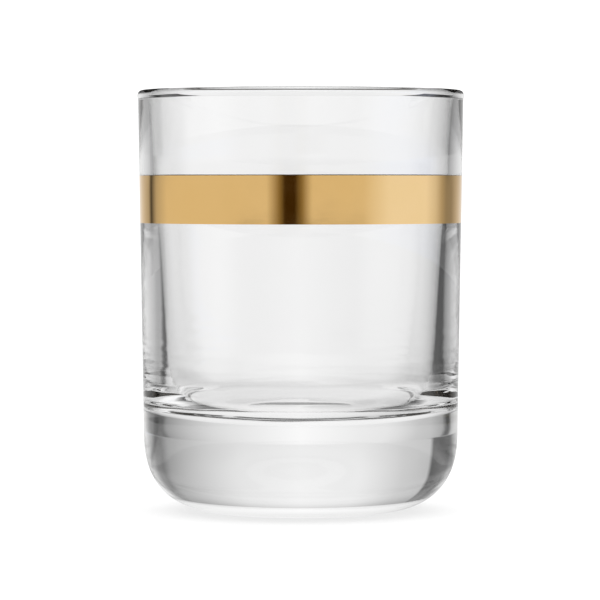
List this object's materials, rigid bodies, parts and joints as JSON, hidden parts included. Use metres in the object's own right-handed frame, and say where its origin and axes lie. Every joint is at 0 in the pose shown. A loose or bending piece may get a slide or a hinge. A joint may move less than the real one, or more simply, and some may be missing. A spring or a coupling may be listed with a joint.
{
  "type": "shot glass",
  "caption": "Small straight-sided drinking glass with a thick solid base, a rounded bottom corner and a plain gold band fired on round its outside.",
  "frame": {"origin": "centre of the foot, on the plane that the glass stands on", "axes": "+Z is the glass's axis, up towards the rim; the glass is round, so X and Y are any two directions at right angles"},
  "size_m": [0.0474, 0.0474, 0.0608],
  "materials": {
    "clear_glass": "clear, fire polished",
    "fired_gold": "bright, mirror-like gold"
  },
  "bodies": {
    "root": {"glass_body": "clear_glass", "gold_band": "fired_gold"}
  },
  "joints": []
}
